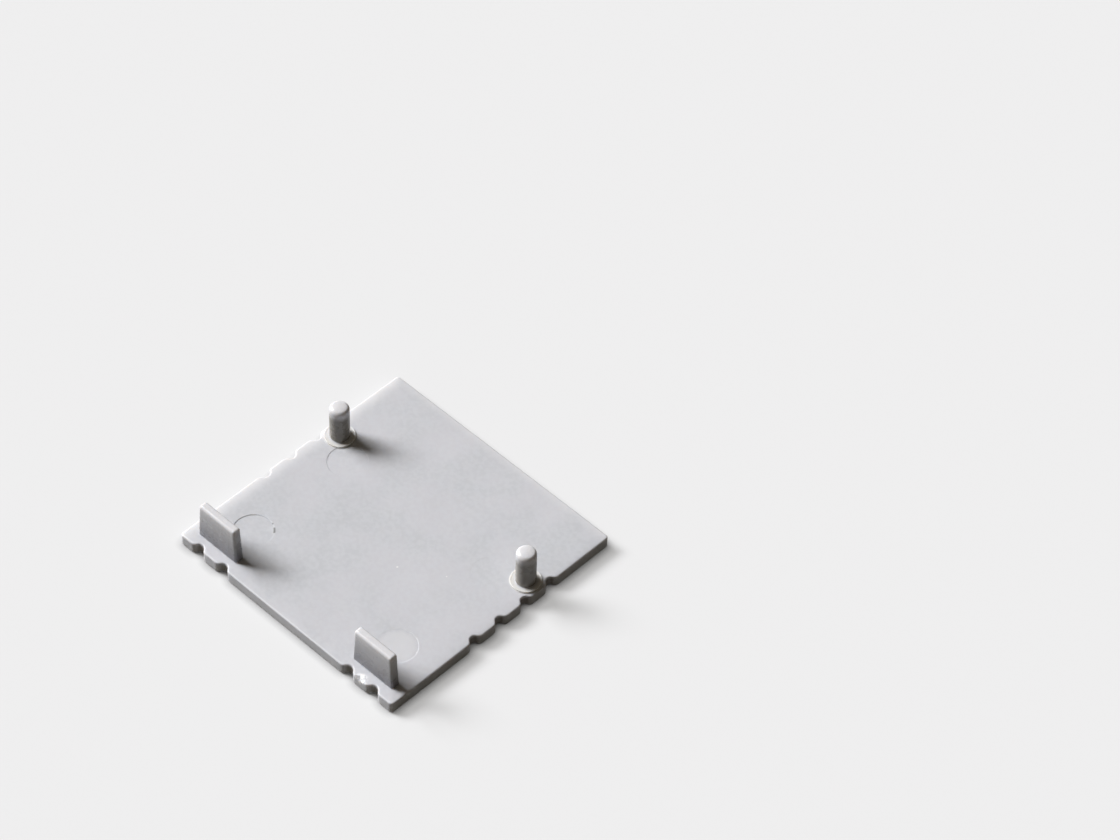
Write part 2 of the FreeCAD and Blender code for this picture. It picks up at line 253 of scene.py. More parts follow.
# Distant lamps: name, azimuth, elevation and width in degrees, strength, colour
LAMPS = (
    ("low_key", -67, 34, 20, 2.5, (1.0, 0.995, 1.0)),
    ("high_key", -80, 43, 26, 2.9, (1.0, 0.995, 1.0)),
    ("overhead", 0, 90, 100, 0.15, (1.0, 0.9, 0.75)),
)
SURROUND_COLOUR = (1.0, 0.8, 0.55, 1)
SURROUND_STRENGTH = 0.04

# Camera: the point it aims at and its distance in metres, its lens, and its angles in degrees
CAMERA_AIM = (0.00002, 0.02334, 0.0001)
CAMERA_DISTANCE = 0.4569
CAMERA_LENS = 144.5
CAMERA_AZIMUTH, CAMERA_ELEVATION, CAMERA_ROLL = 43.14, 48.65, 1.79

# Worked out from the sizes above
NOTCH_RADIUS = (NOTCH_WIDTH ** 2 / 4 + NOTCH_DEPTH ** 2) / (2 * NOTCH_DEPTH)
LIP_TURN = math.acos((NOTCH_RADIUS - NOTCH_DEPTH + LIP_RADIUS) / (NOTCH_RADIUS + LIP_RADIUS))
NOTCH_REACH = (NOTCH_RADIUS + LIP_RADIUS) * math.sin(LIP_TURN)
GROOVE_RADIUS = (GROOVE_WIDTH ** 2 / 4 + GROOVE_DEPTH ** 2) / (2 * GROOVE_DEPTH)
CROWN_RADIUS = (PIN_RADIUS ** 2 + PIN_CROWN ** 2) / (2 * PIN_CROWN)
CROWN_TURN = math.asin((PIN_RADIUS - PIN_SHOULDER) / (CROWN_RADIUS - PIN_SHOULDER))
GATE_RADIUS = (GATE_LENGTH ** 2 / 4 + GATE_BITE ** 2) / (2 * GATE_BITE)

# Points closer than this, in metres, become one
WELD = 1e-7
# Edges that turn by more than this, in degrees, are shaded sharp
SHARP_ANGLE = 35


def grid_quads(index):
    """Four-sided faces of a rectangular array of vertex numbers, turned so that rows cross columns."""
    corners = index[:-1, :-1], index[1:, :-1], index[1:, 1:], index[:-1, 1:]
    return np.stack(corners, axis=-1).reshape(-1, 4)


def surface(plan, height, closed=False):
    """A patch from arrays of plan points and heights: rows by columns, closed round if asked."""
    plan, height = np.broadcast_arrays(plan, height)
    if closed:
        plan = np.concatenate([plan, plan[:, :1]], axis=1)
        height = np.concatenate([height, height[:, :1]], axis=1)
    points = np.stack([plan.real, plan.imag, height], axis=-1).reshape(-1, 3)
    return points, grid_quads(np.arange(plan.size).reshape(plan.shape))


def make_mesh(name, patches):
    """One welded mesh, in metres, from patches of points in millimetres and their faces."""
    starts = np.cumsum([0] + [len(points) for points, _ in patches[:-1]])
    points = np.concatenate([points for points, _ in patches])
    faces = np.concatenate([quads + start for (_, quads), start in zip(patches, starts)])
    used, faces = np.unique(faces, return_inverse=True)
    mesh = bpy.data.meshes.new(name)
    mesh.from_pydata(points[used] * MM, [], faces.reshape(-1, 4).tolist())
    shell = bmesh.new()
    shell.from_mesh(mesh)
    bmesh.ops.remove_doubles(shell, verts=shell.verts, dist=WELD)
    bmesh.ops.recalc_face_normals(shell, faces=shell.faces)
    shell.to_mesh(mesh)
    shell.free()
    return mesh


def add_object(name, mesh):
    """Put a mesh into the scene as an object at the origin."""
    thing = bpy.data.objects.new(name, mesh)
    bpy.context.scene.collection.objects.link(thing)
    return thing


def ripple(points, scale, seed):
    """A soft random height, about -1 to 1: 1.6 times the mean of six sine waves, whose directions,
    lengths and shifts are drawn from the seed."""
    rng = np.random.default_rng(seed)
    waves = rng.normal(size=(6, 3)) * 2 * np.pi / scale
    shifts = rng.uniform(0, 2 * np.pi, 6)
    return np.sin(points @ waves.T + shifts).mean(axis=-1) * 1.6


def walk(start, heading, runs):
    """Plan points and headings along a chain of runs, each given as (length, turn, steps). A run's
    heading grows evenly by its turn, so it is an arc, or straight where the turn is 0. At share t of
    a run the point has gone length * t * sin(a) / a in the direction heading + a, where a is
    turn * t / 2."""
    points, headings = [np.array([start])], [np.array([heading])]
    for length, turn, steps in runs:
        share = np.arange(1, steps + 1) / steps
        half_turn = turn * share / 2
        chord = length * share * np.sinc(half_turn / np.pi)
        points.append(start + chord * np.exp(1j * (heading + half_turn)))
        headings.append(heading + turn * share)
        start, heading = points[-1][-1], headings[-1][-1]
    return np.concatenate(points), np.concatenate(headings)


def notched_edge(half_run, notches, spacings):
    """The runs of one edge: straight stretches, sampled at their own spacings, and round notches
    between them, each an inward arc with a small round lip on both sides."""
    lip_steps, notch_steps = 4, 12
    lip = (LIP_RADIUS * LIP_TURN, LIP_TURN, lip_steps)
    notch_arc = (NOTCH_RADIUS * 2 * LIP_TURN, -2 * LIP_TURN, notch_steps)
    runs, reached = [], -half_run
    for notch, spacing in zip(notches, spacings):
        straight = notch - NOTCH_REACH - reached
        runs += [(straight, 0.0, math.ceil(straight / spacing)), lip, notch_arc, lip]
        reached = notch + NOTCH_REACH
    straight = half_run - reached
    runs.append((straight, 0.0, math.ceil(straight / spacings[-1])))
    return runs


def plate_outline():
    """The plate's closed outline as points and outward directions, anticlockwise from the front left.
    The back is the front's spacing on a straight line, and the left side mirrors the right one."""
    run_x, run_y = HALF_WIDTH - CORNER_RADIUS, HALF_DEPTH - CORNER_RADIUS
    front_runs = notched_edge(run_x, FRONT_NOTCHES, FRONT_SPACINGS)
    side_runs = notched_edge(run_y, SIDE_NOTCHES, SIDE_SPACINGS)
    front, front_way = walk(-run_x - 1j * HALF_DEPTH, 0.0, front_runs)
    right, right_way = walk(HALF_WIDTH - 1j * run_y, np.pi / 2, side_runs)
    back = front.real[::-1] + 1j * HALF_DEPTH
    left = -right.conj()[::-1]
    corner_run = [(CORNER_RADIUS * np.pi / 2, np.pi / 2, 9)]
    edges = [
        (front, front_way),
        (right, right_way),
        (back, np.full(back.shape, np.pi)),
        (left, -right_way[::-1]),
    ]
    points, ways = [], []
    for edge, way in edges:
        corner, corner_way = walk(edge[-1], way[-1], corner_run)
        points += [edge, corner[1:-1]]
        ways += [way, corner_way[1:-1]]
    outward = -1j * np.exp(1j * np.concatenate(ways))
    return np.concatenate(points), outward, front.real, right.imag


def groove_floor(y):
    """Height of the show face: the arc of the nearest groove's round section, and 0 between grooves."""
    off = np.abs(y[..., None] - SIDE_NOTCHES).min(axis=-1)
    arc = np.sqrt(np.maximum(GROOVE_RADIUS ** 2 - off ** 2, 0)) - (GROOVE_RADIUS - GROOVE_DEPTH)
    return np.maximum(arc, 0.0)


def rim_section():
    """Inset from the outline and height, from the inner face's rim down to the show face's rim:
    a quarter round, a straight wall whose points crowd towards its top, and a fuller quarter round."""
    inner = np.linspace(0, np.pi / 2, 9)
    wall = np.linspace(0, 1, 9)[1:-1] ** 1.3
    show = np.linspace(0, np.pi / 2, 10)
    inset = [INNER_RIM * (1 - np.sin(inner)), 0 * wall, SHOW_RIM * (1 - np.cos(show))]
    wall_top, wall_foot = PLATE_TOP - INNER_RIM, SHOW_RIM
    height = [
        wall_top + INNER_RIM * np.cos(inner),
        wall_top + (wall_foot - wall_top) * wall,
        SHOW_RIM * (1 - np.sin(show)),
    ]
    return np.concatenate(inset)[:, None], np.concatenate(height)[:, None]


def to_inner_frame(plan):
    """The nearest point of the square where the edge band meets the face's own grid."""
    x = np.clip(plan.real, -INNER_FRAME, INNER_FRAME)
    y = np.clip(plan.imag, -INNER_FRAME, INNER_FRAME)
    return x + 1j * y


def mark_patch(plan, loop, centre, sink, burr):
    """A round recess let into a hole of the face's grid: spokes run from the hole's border to the
    circle, step down at its edge and close at its centre. Its floor is a slightly tilted disc: at
    radius r and angle a it lies depth * (1 + tilt * r / R * cos(a - heading)) below the face. A burr
    stands on the circle where asked: two bell curves of the angle, the second half as high."""
    depth, tilt, heading = sink
    border = plan.ravel()[loop]
    spoke = np.exp(1j * np.angle(border - centre))
    outer = centre + (MARK_RADIUS + MARK_BAND) * spoke
    band = np.linspace(0, 1, 6)[:, None]
    outside, sunk, raised = np.array(MARK_EDGE).T[:, :, None]
    inside, swell = np.array(MARK_FLOOR).T[:, :, None]
    edge = outside + MARK_RADIUS
    floor = MARK_RADIUS * inside
    lean = np.real(spoke * np.exp(-1j * heading))
    off = np.angle(spoke * np.exp(-1j * BURR_WAY))
    first_bell = np.exp(-(off / BURR_SPREAD) ** 2)
    second_bell = np.exp(-((off - DOT_TURN) / DOT_SPREAD) ** 2)
    bell = burr * (first_bell + 0.5 * second_bell)
    rows = np.concatenate([border + (outer - border) * band, centre + edge * spoke, centre + floor * spoke])
    heights = np.concatenate([
        0 * band * lean,
        raised * bell - sunk * depth * (1 + tilt * lean),
        swell * bell - depth * (1 + tilt * lean * floor / MARK_RADIUS),
    ]) + PLATE_TOP
    return surface(rows[::-1], heights[::-1], closed=True)


def face_grid(lines_x, lines_y):
    """The flat middle of a face as a grid of plan points, which of its quads stay, and the square holes
    for the marks: each its loop of border points, its mark's centre and sink, and the burr's height."""
    plan = lines_x[:, None] + 1j * lines_y[None, :]
    number = np.arange(plan.size).reshape(plan.shape)
    keep = np.ones((len(lines_x) - 1, len(lines_y) - 1), bool)
    reach = MARK_RADIUS + MARK_MARGIN
    holes = []
    for (side, row), sink in MARK_SINK.items():
        centre = side * MARK_X + 1j * row
        i0, i1 = (np.abs(lines_x - centre.real - off).argmin() for off in (-reach, reach))
        j0, j1 = (np.abs(lines_y - centre.imag - off).argmin() for off in (-reach, reach))
        keep[i0:i1, j0:j1] = False
        loop = np.concatenate([
            number[i0:i1, j0], number[i1, j0:j1], number[i1:i0:-1, j1], number[i0, j1:j0:-1]])
        burr = BURR_HEIGHT if (side, row) == BURR_MARK else 0.0
        holes.append((loop, centre, sink, burr))
    return plan, keep, holes


def bite_gate(points):
    """Push the points inside the nipping ball out to its torn surface: a ball set at 45 degrees
    on the rim, its radius roughened by two sizes of ripple."""
    standoff = (GATE_RADIUS - GATE_BITE) / math.sqrt(2)
    centre = np.array([GATE_X, -HALF_DEPTH - standoff, PLATE_TOP + standoff])
    arm = points - centre
    distance = np.linalg.norm(arm, axis=1)
    torn = GATE_RADIUS
    for height, scale, seed in GATE_RIPPLES:
        torn = torn + height * ripple(points, scale, seed)
    inside = distance < torn
    points[inside] = centre + arm[inside] * (torn / distance)[inside, None]
    return points


def settle(points):
    """The plate's faint unevenness: its inner face sinks and swells by a few hundredths, and drops
    towards the outline by DROOP * exp(-d / DROOP_REACH), d being the distance to the nearest edge.
    All of it fades with the fourth power of the height, so the show face stays true."""
    share = np.clip(points[:, 2] / PLATE_TOP, 0, 1) ** 4
    flat = points * [1, 1, 0]
    edge = np.minimum(HALF_WIDTH - np.abs(points[:, 0]), HALF_DEPTH - np.abs(points[:, 1]))
    droop = DROOP * np.exp(-np.clip(edge, 0, None) / DROOP_REACH)
    points[:, 2] += share * (SWELL * ripple(flat, SWELL_SCALE, SWELL_SEED) - SWELL_LOW - droop)
    return points


def plate_mesh():
    """The notched plate: a rim section carried round the outline, a band from it to an inner square
    on both faces, and a grid of lines inside that square that meets the band point for point."""
    outline, outward, front_x, side_y = plate_outline()
    lines_x = np.unique(np.clip(front_x, -INNER_FRAME, INNER_FRAME))
    lines_y = np.unique(np.clip(side_y, -INNER_FRAME, INNER_FRAME))
    inset, height = rim_section()
    rim = outline - inset * outward
    easing = np.linspace(0, 1, 12)[:, None] ** 1.5
    frame_line = to_inner_frame(outline)
    inner_band = rim[0] + (frame_line - rim[0]) * easing
    show_band = rim[-1] + (frame_line - rim[-1]) * easing
    rows = np.concatenate([inner_band[:0:-1], rim, show_band[1:]])
    heights = np.concatenate([0 * easing[1:] + PLATE_TOP, height, 0 * easing[1:]])
    heights = np.maximum(heights + 0 * rows.real, groove_floor(rows.imag))
    plan, keep, holes = face_grid(lines_x, lines_y)
    inner_points, inner_quads = surface(plan, np.full(plan.shape, PLATE_TOP))
    inner_quads = inner_quads.reshape(keep.shape + (4,))[keep]
    show_points, show_quads = surface(plan, groove_floor(plan.imag))
    patches = [
        surface(rows, heights, closed=True),
        (inner_points, inner_quads),
        (show_points, show_quads[:, ::-1]),
    ]
    patches += [mark_patch(plan, *hole) for hole in holes]
    patches = [(settle(bite_gate(points)), quads) for points, quads in patches]
    return make_mesh("cap_plate", patches)


def pin_mesh(side):
    """A turned pin: its profile of radius against height, from the buried root over the ring, its thin
    raised lip, the shank and the round shoulder to the low crown, carried round the pin's axis."""
    root_z, ring_top = PLATE_TOP - ROOT_DEPTH, PLATE_TOP + RING_HEIGHT
    quarter = np.linspace(0, np.pi / 2, 5)
    shoulder = np.linspace(np.pi / 2, CROWN_TURN, 10)
    crown = np.linspace(CROWN_TURN, 0, 9)[1:]
    crown_middle = PIN_TOP - CROWN_RADIUS
    shoulder_middle = crown_middle + (CROWN_RADIUS - PIN_SHOULDER) * math.cos(CROWN_TURN)
    lip_inside = RING_RADIUS - RING_LIP_WIDTH
    radius = np.concatenate([
        [0.0, RING_RADIUS],
        RING_RADIUS - RING_LIP_ROUND * (1 - np.cos(quarter)),
        [lip_inside, lip_inside - RING_LIP_SLOPE],
        PIN_RADIUS + PIN_FOOT_ROUND * (1 - np.sin(quarter)),
        PIN_RADIUS - PIN_SHOULDER * (1 - np.sin(shoulder)),
        CROWN_RADIUS * np.sin(crown),
    ])
    height = np.concatenate([
        [root_z, root_z],
        ring_top + RING_LIP - RING_LIP_ROUND * (1 - np.sin(quarter)),
        [ring_top + RING_LIP * RING_LIP_KEPT, ring_top],
        ring_top + PIN_FOOT_ROUND * (1 - np.cos(quarter)),
        shoulder_middle + PIN_SHOULDER * np.cos(shoulder),
        crown_middle + CROWN_RADIUS * np.cos(crown),
    ])
    round_way = np.exp(1j * np.linspace(0, 2 * np.pi, PIN_STEPS, endpoint=False))
    plan = side * PIN_X + 1j * PIN_Y + radius[::-1, None] * round_way
    return make_mesh("pin", [surface(plan, height[::-1, None] + 0 * plan.real, closed=True)])


def tab_mesh(side):
    """A flat tab: a rectangle with round corners that narrows as it rises, then draws in by a quarter
    round at its top, where its corners become quarter balls, and closes on its middle."""
    corner_steps = 9
    quarter = np.linspace(-np.pi, -np.pi / 2, corner_steps)
    corner_ways = (np.arange(4)[:, None] * np.pi / 2 + quarter).ravel()
    corner_x = np.repeat([-1.0, 1.0, 1.0, -1.0], corner_steps)
    corner_y = np.repeat([-1.0, -1.0, 1.0, 1.0], corner_steps)
    rise = np.linspace(0, 1, 16)
    top_round = np.linspace(0, np.pi / 2, 9)[1:]
    full = ROOT_DEPTH + TAB_HEIGHT
    foot_z, top_z = PLATE_TOP - ROOT_DEPTH, PLATE_TOP + TAB_HEIGHT
    height = np.concatenate([
        foot_z + rise * (full - TAB_EDGE_ROUND),
        top_z - TAB_EDGE_ROUND * (1 - np.sin(top_round)),
        [top_z, top_z],
    ])
    draw_in = np.concatenate([0 * rise, TAB_EDGE_ROUND * (1 - np.cos(top_round)), TAB_TOP_INSETS])
    share = (height - foot_z) / full
    half_length = TAB_LENGTH / 2 - TAB_END_TAPER * share - draw_in
    half_width = TAB_THICKNESS / 2 - TAB_FACE_TAPER * share - draw_in
    half_width[-1] = 0.0
    corner = np.clip(TAB_EDGE_ROUND - draw_in, 0, None)
    plan = (
        corner_x * (half_length - corner)[:, None]
        + 1j * corner_y * (half_width - corner)[:, None]
        + corner[:, None] * np.exp(1j * corner_ways))
    plan = side * TAB_X + 1j * TAB_Y + plan
    foot = np.full((1, plan.shape[1]), plan[0].mean())
    plan = np.concatenate([foot, plan])
    height = np.concatenate([[foot_z], height])[:, None] + 0 * plan.real
    return make_mesh("tab", [surface(plan[::-1], height[::-1], closed=True)])


def fuse(base_mesh, added_meshes):
    """One closed mesh: the base with the added pieces united into it."""
    base = add_object("fused", base_mesh)
    for number, mesh in enumerate(added_meshes):
        tool = add_object("fused_part%d" % number, mesh)
        union = base.modifiers.new("union%d" % number, "BOOLEAN")
        union.operation = "UNION"
        union.solver = "EXACT"
        union.object = tool
    bpy.context.view_layer.update()
    evaluated = base.evaluated_get(bpy.context.evaluated_depsgraph_get())
    fused = bpy.data.meshes.new_from_object(evaluated)
    for name in ["fused"] + ["fused_part%d" % number for number in range(len(added_meshes))]:
        bpy.data.objects.remove(bpy.data.objects[name])
    return fused


def add_node(tree, kind, sockets, **settings):
    """A shader node, its sockets given as plain values or as the outputs that feed them."""
    node = tree.nodes.new(kind)
    for name, value in settings.items():
        setattr(node, name, value)
    for name, value in sockets.items():
        if isinstance(value, bpy.types.NodeSocket):
            tree.links.new(value, node.inputs[name])
        else:
            node.inputs[name].default_value = value
    return node.outputs


class PlasticRecipe:
    """The plastic's shader tree, and the few operations that its masks and colours are made of.
    Places and distances in it are millimetres, read from Object coordinates."""

    def __init__(self, material):
        """Start the material's tree with the shaded point's place, as a whole and by its axes."""
        material.use_nodes = True
        self.tree = material.node_tree
        self.shader = self.tree.nodes["Principled BSDF"]
        metres = self.node("TexCoord", {})["Object"]
        self.place = self.node("VectorMath", {0: metres, "Scale": 1 / MM}, operation="SCALE")["Vector"]
        axes = self.node("SeparateXYZ", {"Vector": self.place})
        self.x, self.y, self.z = axes["X"], axes["Y"], axes["Z"]

    def node(self, kind, sockets, **settings):
        """A node of this tree, its kind given without the word ShaderNode."""
        return add_node(self.tree, "ShaderNode" + kind, sockets, **settings)

    def feed(self, socket, output):
        """Link an output to one of the shader's own sockets."""
        self.tree.links.new(output, self.shader.inputs[socket])

    def maths(self, operation, first, second=0.0):
        """One operation on one or two values."""
        return self.node("Math", {0: first, 1: second}, operation=operation)["Value"]

    def times(self, first, *others):
        """The product of masks or values."""
        for other in others:
            first = self.maths("MULTIPLY", first, other)
        return first

    def fade(self, source, low, high, at_low, at_high):
        """A smooth step from one value to another, as the source goes from low to high."""
        sockets = {
            "Value": source, "From Min": low, "From Max": high, "To Min": at_low, "To Max": at_high}
        return self.node("MapRange", sockets, interpolation_type="SMOOTHSTEP")["Result"]

    def noise(self, scale, detail):
        """Soft noise with about that many lumps to a millimetre."""
        sockets = {"Vector": self.place, "Scale": scale, "Detail": detail}
        return self.node("TexNoise", sockets)["Fac"]

    def blend(self, mask, under, over, way="MIX"):
        """One colour laid over another where the mask is 1, or multiplied into it."""
        sockets = {"Factor": mask, "A": under, "B": over}
        for name in ("A", "B"):
            if isinstance(sockets[name], tuple):
                sockets[name] = (*sockets[name], 1.0)
        return self.node("Mix", sockets, data_type="RGBA", blend_type=way)["Result"]

    def distance(self, point, centre):
        """Distance from a point to a fixed centre."""
        return self.node("VectorMath", {0: point, 1: centre}, operation="DISTANCE")["Value"]


def on_burr_mark(way):
    """The point that lies that way from the middle of the burred mark, on its circle."""
    side, row = BURR_MARK
    return side * MARK_X + MARK_RADIUS * math.cos(way), row + MARK_RADIUS * math.sin(way), PLATE_TOP


def find_raised_zones(recipe):
    """Masks of what stands on the plate: painted shade below the tips, darker lower down, the shanks' feet,
    the tips and the rings' lips, and with them the tab side, the plate's inner face and the distance to a
    pin."""
    z = recipe.z
    tab_side = recipe.fade(recipe.y, *TAB_SIDE_Y, 1, 0)
    shifted = recipe.maths("ADD", z, recipe.times(tab_side, TAB_STANDING_DROP))
    raised = recipe.fade(shifted, *STANDING_HEIGHTS, 0, 1)
    top_half = recipe.fade(z, *FACE_HEIGHTS, 0, 1)
    on_face = recipe.times(recipe.maths("SUBTRACT", 1.0, raised), top_half)
    # Painted shade on tabs and pins, darker lower down and gone towards their tops
    tab_shade = recipe.fade(z, *TAB_SHADE_HEIGHTS, 1, 0)
    pin_shade = recipe.fade(z, *SHANK_SHADE_HEIGHTS, 1, 0)
    shade = recipe.node("Mix", {"Factor": tab_side, "A": pin_shade, "B": tab_shade})["Result"]
    # Painted shade at the shanks' feet
    shank_foot = recipe.fade(z, *SHANK_FOOT_HEIGHTS, 0.6, 0)
    folded = recipe.node("CombineXYZ", {"X": recipe.maths("ABSOLUTE", recipe.x), "Y": recipe.y})
    from_pin = recipe.distance(folded["Vector"], (PIN_X, PIN_Y, 0.0))
    # The rings' lips: smoother, and given a painted highlight
    ring = recipe.times(
        recipe.fade(from_pin, *RING_OUTSIDE, 1, 0),
        recipe.fade(from_pin, *RING_INSIDE, 0.35, 1),
        on_face)
    return {
        "tab_side": tab_side,
        "raised": raised,
        "on_face": on_face,
        "raised_shade": recipe.times(raised, shade),
        "shank_foot": recipe.times(shank_foot, raised, recipe.maths("SUBTRACT", 1.0, tab_side)),
        # Tips: smoother, and made paler as painted light
        "tip": recipe.fade(z, *TIP_HEIGHTS, 0, 1),
        "from_pin": from_pin,
        "ring": ring,
    }


def find_plate_zones(recipe, on_face):
    """Masks of places on the plate: painted shade in the notches' recesses, painted light along its left
    and rear rims, the bloom inside the right front mark, painted shade at the burr and its dot, and the
    torn gate, white in patches that are partly painted glints."""
    from_side = recipe.maths("SUBTRACT", HALF_WIDTH, recipe.maths("ABSOLUTE", recipe.x))
    from_end = recipe.maths("SUBTRACT", HALF_DEPTH, recipe.maths("ABSOLUTE", recipe.y))
    # Painted shade in the notches' recesses
    recess = recipe.times(
        recipe.fade(recipe.maths("MINIMUM", from_side, from_end), *RECESS_INSET, 0, 1),
        recipe.fade(recipe.z, *RECESS_FOOT_HEIGHTS, 0, 1),
        recipe.fade(recipe.z, *RECESS_TOP_HEIGHTS, 1, 0))
    # Painted light: a glow along the left rim, and about half as much along the rear one
    left_rim_light = recipe.fade(recipe.x, -HALF_WIDTH, LEFT_RIM_WIDTH - HALF_WIDTH, 0.9, 0)
    rear_rim_light = recipe.fade(recipe.y, HALF_DEPTH - REAR_RIM_WIDTH, HALF_DEPTH, 0, 0.5)
    from_bloom = recipe.distance(recipe.place, (MARK_X, FRONT_ROW, PLATE_TOP))
    bloom = recipe.fade(from_bloom, *BLOOM_REACH, 0.7, 0)
    from_mark = recipe.distance(recipe.place, (BURR_MARK[0] * MARK_X, BURR_MARK[1], PLATE_TOP))
    off_circle = recipe.maths("ABSOLUTE", recipe.maths("SUBTRACT", from_mark, MARK_RADIUS))
    from_burr = recipe.distance(recipe.place, on_burr_mark(BURR_WAY))
    # Painted shade of the burr along the circle, and a spot of it by the dot
    burr_shade = recipe.times(
        recipe.fade(off_circle, *BURR_SHADE_WIDTH, 0.9, 0), recipe.fade(from_burr, *BURR_SHADE_REACH, 1, 0))
    from_dot_shade = recipe.distance(recipe.place, on_burr_mark(BURR_WAY + DOT_SHADE_TURN))
    dot_shade = recipe.fade(from_dot_shade, *DOT_SHADE_REACH, 0.7, 0)
    # Torn plastic at the clipped gate, in white patches that are partly whitening and partly painted glints
    from_gate = recipe.distance(recipe.place, (GATE_X, -HALF_DEPTH, PLATE_TOP))
    torn = recipe.fade(from_gate, *TORN_REACH, 1, 0)
    torn_patches = recipe.fade(recipe.noise(*TORN_PATCHES), 0.42, 0.6, 0, 1)
    return {
        "recess": recess,
        "rim": recipe.times(recipe.maths("MAXIMUM", left_rim_light, rear_rim_light), on_face),
        "bloom": recipe.times(bloom, on_face),
        "burr_shade": recipe.maths("MAXIMUM", burr_shade, dot_shade),
        "whitened_and_glints": recipe.times(torn, torn_patches),
    }


def colour_plastic(recipe, raised, plate):
    """Base colour: broad and fine clouding, painted shade multiplied into shanks, tabs and notches, then
    the pale and dark places laid over them: painted light on tips, ring lips and rims, the torn white
    with painted glints, the bloom, painted shade at the burr, and the specks."""
    broad = recipe.fade(recipe.noise(*BROAD_CLOUDS), 0.35, 0.65, 0, 1)
    fine = recipe.fade(recipe.noise(*FINE_CLOUDS), 0.35, 0.65, 0, 0.6)
    colour = recipe.blend(broad, PLASTIC_DEEP, PLASTIC_PALE)
    colour = recipe.blend(fine, colour, PLASTIC_CLOUD)
    # Painted shade on shanks, tabs, shank feet and notches, multiplied into the colour
    left_half = recipe.fade(recipe.x, *LEFT_HALF_X, 1, 0)
    shank_shade = recipe.blend(left_half, RIGHT_SHANK_SHADE, LEFT_SHANK_SHADE)
    raised_shade_colour = recipe.blend(raised["tab_side"], shank_shade, TAB_PAINTED_SHADE)
    for mask, painted_shade_colour in (
            (raised["raised_shade"], raised_shade_colour),
            (raised["shank_foot"], SHANK_FOOT_SHADE),
            (plate["recess"], RECESS_PAINTED_SHADE)):
        colour = recipe.blend(mask, colour, painted_shade_colour, "MULTIPLY")
    # Laid over: painted light on tips, ring lips and rims, the torn white with painted glints, the bloom,
    # and painted shade at the burr
    for mask, shade in (
            (raised["tip"], TIP_PAINTED_LIGHT),
            (raised["ring"], RING_PAINTED_HIGHLIGHT),
            (plate["whitened_and_glints"], TORN_WHITE_AND_GLINTS),
            (plate["bloom"], BLOOM_PALE),
            (plate["burr_shade"], BURR_PAINTED_SHADE),
            (plate["rim"], RIM_PAINTED_LIGHT)):
        colour = recipe.blend(mask, colour, shade)
    for x, y, radius in SPECKS:
        from_speck = recipe.distance(recipe.place, (x, y, PLATE_TOP))
        speck = recipe.fade(from_speck, radius, radius * SPECK_SPREAD, 1, 0)
        colour = recipe.blend(speck, colour, SPECK_WHITE)
    recipe.feed("Base Color", colour)


def polish_plastic(recipe, raised):
    """Roughness: uneven and matt on the plate, smoother on pins, tabs and rings, and a little more
    so on the tips."""
    rough = recipe.fade(recipe.noise(*MATT_PATCHES), 0.3, 0.7, *PLATE_ROUGHNESS)
    polish = recipe.maths("MAXIMUM", raised["raised"], raised["ring"])
    for mask, drop in ((polish, POLISH_DROP), (raised["tip"], TIP_POLISH_DROP)):
        rough = recipe.maths("SUBTRACT", rough, recipe.times(mask, drop))
    recipe.feed("Roughness", rough)


def grain_plastic(recipe, raised):
    """Bump: a fine moulded grain, and turned rings on the pins' tops, a sine of the distance to the
    pin's axis."""
    turned = recipe.times(
        recipe.maths("SINE", recipe.times(raised["from_pin"], 2 * math.pi / TURNED_PITCH)),
        recipe.fade(raised["from_pin"], *TURNED_REACH, 0.8, 0),
        recipe.fade(recipe.z, *TURNED_HEIGHTS, 0, 1))
    relief = recipe.maths("ADD", recipe.noise(*MOULD_GRAIN), turned)
    sockets = {"Height": relief, "Strength": 0.6, "Distance": GRAIN_DEPTH * MM}
    recipe.feed("Normal", recipe.node("Bump", sockets)["Normal"])


def moulded_plastic():
    """Pale grey moulded plastic: a fine matt grain and faint clouding on the plate, smoother pins and
    tabs with painted shade low down and painted light towards their tops, a painted highlight on the lip
    of the ring round each pin's foot, painted shade in the notches, painted light along the left and rear
    rims, painted shade at a burr, a white tear with painted glints at the clipped gate and a few pale
    specks."""
    material = bpy.data.materials.new("pale grey moulded plastic")
    recipe = PlasticRecipe(material)
    recipe.shader.inputs["IOR"].default_value = 1.53
    recipe.shader.inputs["Subsurface Weight"].default_value = 1.0
    recipe.shader.inputs["Subsurface Radius"].default_value = (1.0, 0.92, 0.85)
    recipe.shader.inputs["Subsurface Scale"].default_value = 0.4 * MM
    raised = find_raised_zones(recipe)
    plate = find_plate_zones(recipe, raised["on_face"])
    colour_plastic(recipe, raised, plate)
    polish_plastic(recipe, raised)
    grain_plastic(recipe, raised)
    return material


